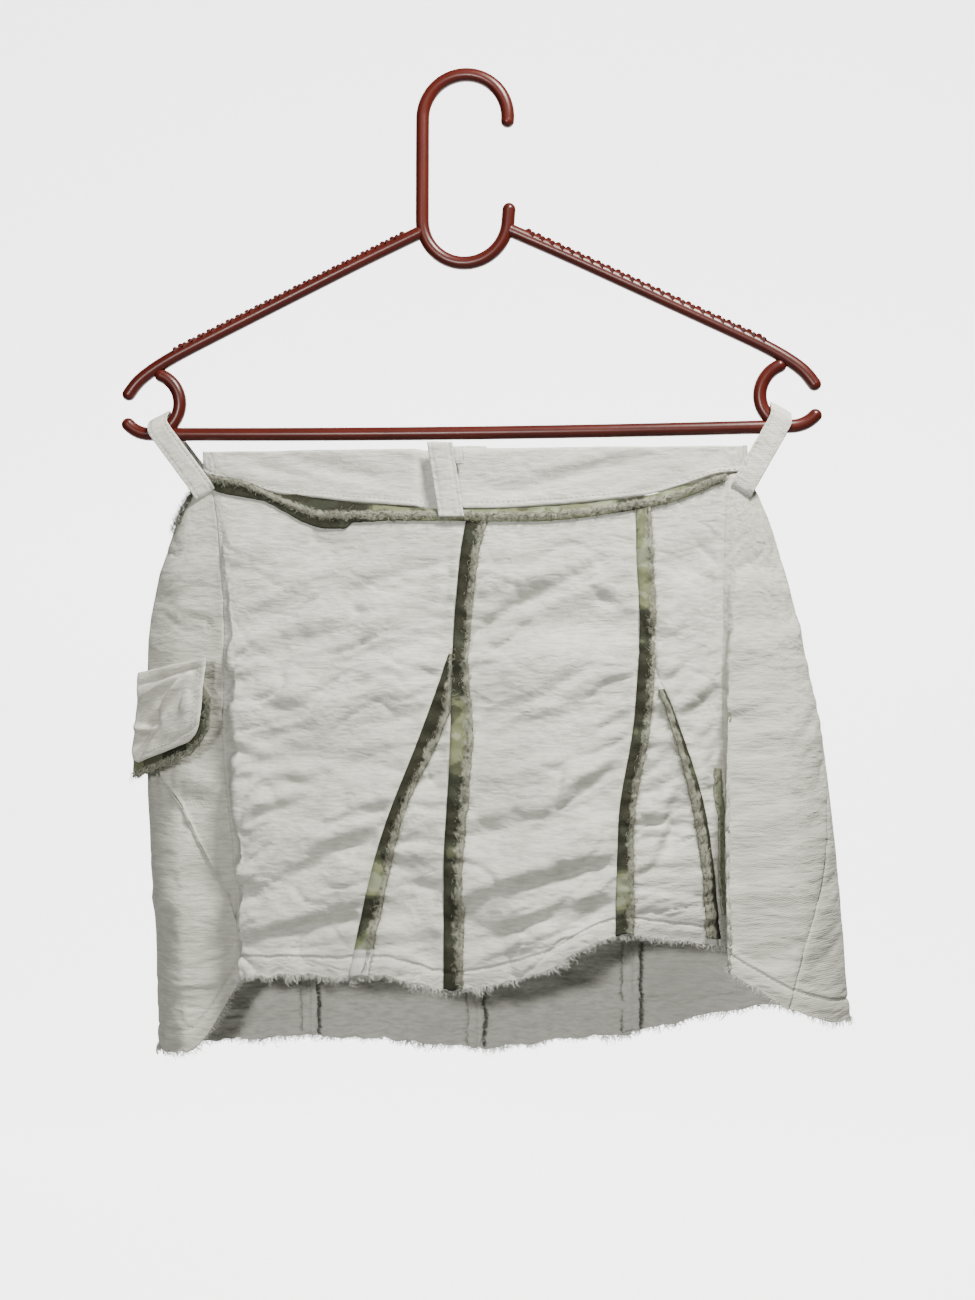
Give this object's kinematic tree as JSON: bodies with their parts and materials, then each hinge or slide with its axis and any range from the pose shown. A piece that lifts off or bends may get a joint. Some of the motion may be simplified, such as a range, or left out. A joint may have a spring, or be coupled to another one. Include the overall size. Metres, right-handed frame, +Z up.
{
  "type": "skirt on a plastic hanger",
  "caption": "White twill panelled mini skirt with raw frayed camouflage seams, hung by its side belt loops from a one-piece plastic hanger",
  "frame": {"origin": "inside top of the hook, where it rests on a rail", "axes": "+Z up, -Y toward the front of the skirt, +X to the viewer's right when seen from the front"},
  "size_m": [0.4319, 0.095, 0.587],
  "materials": {
    "hanger_plastic": "gloss",
    "white_twill": "matt twill",
    "camouflage_twill": "matt printed twill, frayed",
    "zip_tape": "woven tape",
    "zip_metal": "satin"
  },
  "bodies": {
    "hanger": {"hanger": "hanger_plastic"},
    "skirt": {"front_left_panel": "white_twill", "front_centre_panel": "white_twill", "front_right_panel": "white_twill", "front_left_godet": "white_twill", "front_right_godet": "white_twill", "side_left_panel": "white_twill", "side_left_lower_panel": "white_twill", "side_right_panel": "white_twill", "side_right_gore": "white_twill", "back_right_panel": "white_twill", "back_centre_right_panel": "white_twill", "back_centre_left_panel": "white_twill", "back_left_panel": "white_twill", "waistband_front_left": "white_twill", "waistband_front_right": "white_twill", "waistband_back": "white_twill", "belt_loop_left": "white_twill", "belt_loop_right": "white_twill", "belt_loop_front": "white_twill", "belt_loop_back": "white_twill", "seam_strip_centre_left": "camouflage_twill", "seam_strip_centre_right": "camouflage_twill", "seam_strip_left_godet": "camouflage_twill", "seam_strip_right_godet": "camouflage_twill", "seam_strip_right_fold": "camouflage_twill", "waist_strip_left": "camouflage_twill", "waist_strip_right": "camouflage_twill", "waist_hook": "zip_metal", "waist_bar": "zip_metal", "zip_tape_left": "zip_tape", "zip_tape_right": "zip_tape", "zip_teeth_left": "zip_metal", "zip_teeth_right": "zip_metal", "zip_stop": "zip_metal", "pocket_snap_stud": "zip_metal"},
    "pocket_flap": {"pocket_flap": "white_twill", "pocket_flap_facing": "camouflage_twill", "pocket_snap_socket": "zip_metal"},
    "zip_slider": {"zip_slider": "zip_metal"},
    "zip_pull": {"zip_pull": "zip_metal"}
  },
  "joints": [
    {"name": "skirt_swing", "type": "hinge", "parent": "hanger", "child": "skirt", "pos_m": [0, 0, -0.2057], "axis": [1, 0, 0], "range_deg": [-20, 20]},
    {"name": "flap_lift", "type": "hinge", "parent": "skirt", "child": "pocket_flap", "pos_m": [-0.17275, -0.01475, -0.34425], "axis": [-0.8649, 0.4726, -0.1694], "range_deg": [0, 100]},
    {"name": "zip_run", "type": "slide", "parent": "skirt", "child": "zip_slider", "axis": [-0.0514, -0.1404, -0.9888], "range_m": [0, 0.104]},
    {"name": "pull_turn", "type": "hinge", "parent": "zip_slider", "child": "zip_pull", "pos_m": [0.00175, -0.0016, -0.26517], "axis": [0.9987, -0.0072, -0.0509], "range_deg": [0, 40]}
  ]
}
